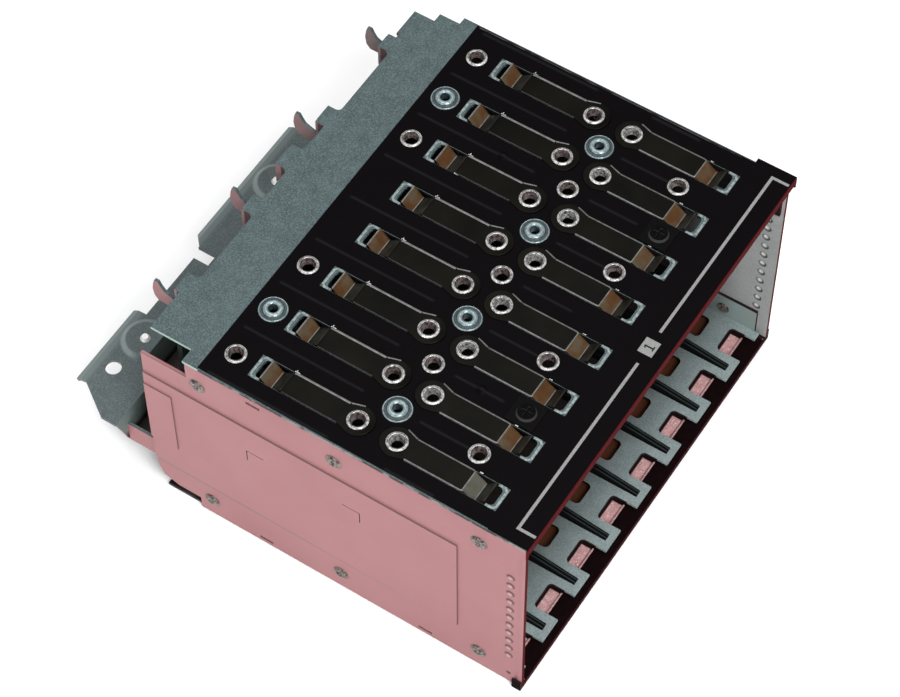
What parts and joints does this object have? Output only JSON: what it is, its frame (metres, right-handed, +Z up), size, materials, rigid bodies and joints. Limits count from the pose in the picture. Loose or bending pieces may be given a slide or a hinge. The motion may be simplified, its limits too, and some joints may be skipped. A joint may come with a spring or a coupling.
{
  "type": "hot swap drive cage",
  "caption": "Sheet metal cage that holds small hot swap drives on edge, with leaf springs on the cover, guide rails below and a connector board behind.",
  "frame": {"origin": "middle of the pan's underside: midway between the outer bays, and midway between the front edge and the back of the body", "axes": "+X across the bays to the right seen from the front, +Y from the open front to the back, +Z up"},
  "size_m": [0.1499, 0.1601, 0.0834],
  "materials": {
    "zinc_sheet": "galvanised, satin",
    "side_sheet": "galvanised, satin, rosy",
    "black_film": "black film, satin",
    "spring_steel": "smooth spring steel",
    "rivet_metal": "bright",
    "dark_screw": "black, satin",
    "rail_plastic": "black, satin",
    "board": "black-green solder resist",
    "connector_plastic": "black, moulded"
  },
  "bodies": {
    "cage": {"top_cover": "zinc_sheet", "top_film": "black_film", "spring_heads": "spring_steel", "spring_eyelets": "rivet_metal", "plain_eyelets": "rivet_metal", "cover_rivets": "rivet_metal", "side_rivets_left": "rivet_metal", "side_rivets_right": "rivet_metal", "bracket_rivets": "rivet_metal", "boss_pins": "rivet_metal", "screw_pads": "black_film", "cover_screws": "dark_screw", "side_panel_left": "side_sheet", "side_panel_right": "side_sheet", "bottom_pan": "zinc_sheet", "front_film_strip": "black_film", "bottom_guide_plate": "zinc_sheet", "guide_rail_1": "rail_plastic", "guide_rail_2": "rail_plastic", "guide_rail_3": "rail_plastic", "guide_rail_4": "rail_plastic", "guide_rail_5": "rail_plastic", "guide_rail_6": "rail_plastic", "guide_rail_7": "rail_plastic", "rear_bracket": "zinc_sheet", "backplane_board": "board", "drive_connector_1": "connector_plastic", "drive_connector_2": "connector_plastic", "drive_connector_3": "connector_plastic", "drive_connector_4": "connector_plastic", "drive_connector_5": "connector_plastic", "drive_connector_6": "connector_plastic", "drive_connector_7": "connector_plastic", "drive_connector_8": "connector_plastic", "power_connector": "connector_plastic", "data_connectors": "connector_plastic"},
    "rear_spring_1": {"rear_spring_1": "spring_steel"},
    "rear_spring_2": {"rear_spring_2": "spring_steel"},
    "rear_spring_3": {"rear_spring_3": "spring_steel"},
    "rear_spring_4": {"rear_spring_4": "spring_steel"},
    "rear_spring_5": {"rear_spring_5": "spring_steel"},
    "rear_spring_6": {"rear_spring_6": "spring_steel"},
    "rear_spring_7": {"rear_spring_7": "spring_steel"},
    "rear_spring_8": {"rear_spring_8": "spring_steel"},
    "front_spring_1": {"front_spring_1": "spring_steel"},
    "front_spring_2": {"front_spring_2": "spring_steel"},
    "front_spring_3": {"front_spring_3": "spring_steel"},
    "front_spring_4": {"front_spring_4": "spring_steel"},
    "front_spring_5": {"front_spring_5": "spring_steel"},
    "front_spring_6": {"front_spring_6": "spring_steel"},
    "front_spring_7": {"front_spring_7": "spring_steel"},
    "front_spring_8": {"front_spring_8": "spring_steel"}
  },
  "joints": [
    {"name": "rear_spring_1_flex", "type": "hinge", "parent": "cage", "child": "rear_spring_1", "pos_m": [-0.0629, 0.0012, 0.0824], "axis": [1, 0, 0], "range_deg": [0, 5], "stiffness_Nm_per_rad": 0.38},
    {"name": "rear_spring_2_flex", "type": "hinge", "parent": "cage", "child": "rear_spring_2", "pos_m": [-0.0451, 0.0012, 0.0824], "axis": [1, 0, 0], "range_deg": [0, 5], "stiffness_Nm_per_rad": 0.38},
    {"name": "rear_spring_3_flex", "type": "hinge", "parent": "cage", "child": "rear_spring_3", "pos_m": [-0.0273, 0.0012, 0.0824], "axis": [1, 0, 0], "range_deg": [0, 5], "stiffness_Nm_per_rad": 0.38},
    {"name": "rear_spring_4_flex", "type": "hinge", "parent": "cage", "child": "rear_spring_4", "pos_m": [-0.0095, 0.0012, 0.0824], "axis": [1, 0, 0], "range_deg": [0, 5], "stiffness_Nm_per_rad": 0.38},
    {"name": "rear_spring_5_flex", "type": "hinge", "parent": "cage", "child": "rear_spring_5", "pos_m": [0.0083, 0.0012, 0.0824], "axis": [1, 0, 0], "range_deg": [0, 5], "stiffness_Nm_per_rad": 0.38},
    {"name": "rear_spring_6_flex", "type": "hinge", "parent": "cage", "child": "rear_spring_6", "pos_m": [0.0261, 0.0012, 0.0824], "axis": [1, 0, 0], "range_deg": [0, 5], "stiffness_Nm_per_rad": 0.38},
    {"name": "rear_spring_7_flex", "type": "hinge", "parent": "cage", "child": "rear_spring_7", "pos_m": [0.0439, 0.0012, 0.0824], "axis": [1, 0, 0], "range_deg": [0, 5], "stiffness_Nm_per_rad": 0.38},
    {"name": "rear_spring_8_flex", "type": "hinge", "parent": "cage", "child": "rear_spring_8", "pos_m": [0.0617, 0.0012, 0.0824], "axis": [1, 0, 0], "range_deg": [0, 5], "stiffness_Nm_per_rad": 0.38},
    {"name": "front_spring_1_flex", "type": "hinge", "parent": "cage", "child": "front_spring_1", "pos_m": [-0.0629, -0.0201, 0.0824], "axis": [-1, 0, 0], "range_deg": [0, 5], "stiffness_Nm_per_rad": 0.38},
    {"name": "front_spring_2_flex", "type": "hinge", "parent": "cage", "child": "front_spring_2", "pos_m": [-0.0451, -0.0201, 0.0824], "axis": [-1, 0, 0], "range_deg": [0, 5], "stiffness_Nm_per_rad": 0.38},
    {"name": "front_spring_3_flex", "type": "hinge", "parent": "cage", "child": "front_spring_3", "pos_m": [-0.0273, -0.0201, 0.0824], "axis": [-1, 0, 0], "range_deg": [0, 5], "stiffness_Nm_per_rad": 0.38},
    {"name": "front_spring_4_flex", "type": "hinge", "parent": "cage", "child": "front_spring_4", "pos_m": [-0.0095, -0.0201, 0.0824], "axis": [-1, 0, 0], "range_deg": [0, 5], "stiffness_Nm_per_rad": 0.38},
    {"name": "front_spring_5_flex", "type": "hinge", "parent": "cage", "child": "front_spring_5", "pos_m": [0.0083, -0.0201, 0.0824], "axis": [-1, 0, 0], "range_deg": [0, 5], "stiffness_Nm_per_rad": 0.38},
    {"name": "front_spring_6_flex", "type": "hinge", "parent": "cage", "child": "front_spring_6", "pos_m": [0.0261, -0.0201, 0.0824], "axis": [-1, 0, 0], "range_deg": [0, 5], "stiffness_Nm_per_rad": 0.38},
    {"name": "front_spring_7_flex", "type": "hinge", "parent": "cage", "child": "front_spring_7", "pos_m": [0.0439, -0.0201, 0.0824], "axis": [-1, 0, 0], "range_deg": [0, 5], "stiffness_Nm_per_rad": 0.38},
    {"name": "front_spring_8_flex", "type": "hinge", "parent": "cage", "child": "front_spring_8", "pos_m": [0.0617, -0.0201, 0.0824], "axis": [-1, 0, 0], "range_deg": [0, 5], "stiffness_Nm_per_rad": 0.38}
  ]
}
